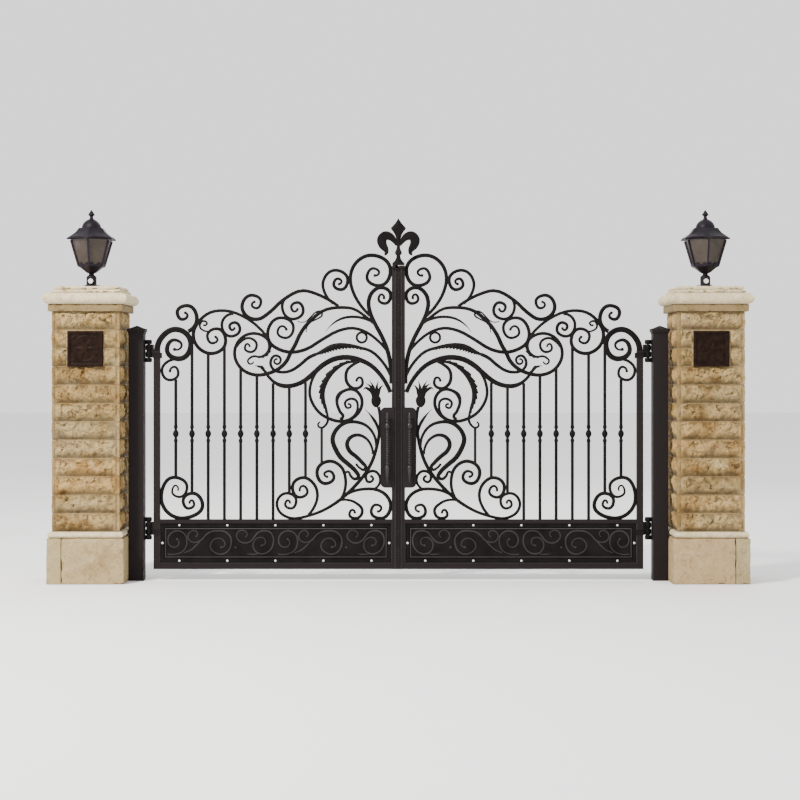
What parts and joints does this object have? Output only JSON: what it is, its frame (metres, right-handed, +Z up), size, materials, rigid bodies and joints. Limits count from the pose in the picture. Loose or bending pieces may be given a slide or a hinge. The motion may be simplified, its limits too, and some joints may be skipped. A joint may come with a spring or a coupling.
{
  "type": "wrought iron driveway gate",
  "caption": "Double driveway gate of forged scrollwork over solid kick panels, hung on steel posts between stone piers with lanterns.",
  "frame": {"origin": "on the ground, in the middle of the opening and in the plane of the closed leaves", "axes": "+X to the right seen from the street, +Y into the drive, +Z up"},
  "size_m": [5.5698, 0.6598, 2.96],
  "materials": {
    "iron": "satin",
    "stone": "matte",
    "cap_stone": "matte",
    "bronze": "satin",
    "frosted_glass": "satin"
  },
  "bodies": {
    "root": {"pier_plinths": "stone", "string_courses": "stone", "pier_shafts": "stone", "pier_caps": "cap_stone", "plaques": "bronze", "lantern_bases": "iron", "lantern_sensors": "frosted_glass", "lantern_glass": "frosted_glass", "lantern_frames": "iron", "lantern_roofs": "iron", "gate_posts": "iron", "post_caps": "iron", "hinge_brackets": "iron"},
    "left_leaf": {"left_hinge_stile": "iron", "left_meeting_stile": "iron", "left_rails": "iron", "left_kick_panel": "iron", "left_balusters": "iron", "left_crown_scrolls": "iron", "left_heart_scrolls": "iron", "left_base_scrolls": "iron", "left_leaf_work": "iron", "left_lock_plate": "iron", "left_pull_handle": "iron", "left_hinge_straps": "iron", "left_cover_strip": "iron", "fleur_finial": "iron"},
    "right_leaf": {"right_hinge_stile": "iron", "right_meeting_stile": "iron", "right_rails": "iron", "right_kick_panel": "iron", "right_balusters": "iron", "right_crown_scrolls": "iron", "right_heart_scrolls": "iron", "right_base_scrolls": "iron", "right_leaf_work": "iron", "right_lock_plate": "iron", "right_pull_handle": "iron", "right_hinge_straps": "iron", "right_cover_strip": "iron"}
  },
  "joints": [
    {"name": "left_leaf_hinge", "type": "hinge", "parent": "root", "child": "left_leaf", "pos_m": [-1.996, 0, 0], "axis": [0, 0, 1], "range_deg": [0, 90]},
    {"name": "right_leaf_hinge", "type": "hinge", "parent": "root", "child": "right_leaf", "pos_m": [1.996, 0, 0], "axis": [0, 0, -1], "range_deg": [0, 90]}
  ]
}
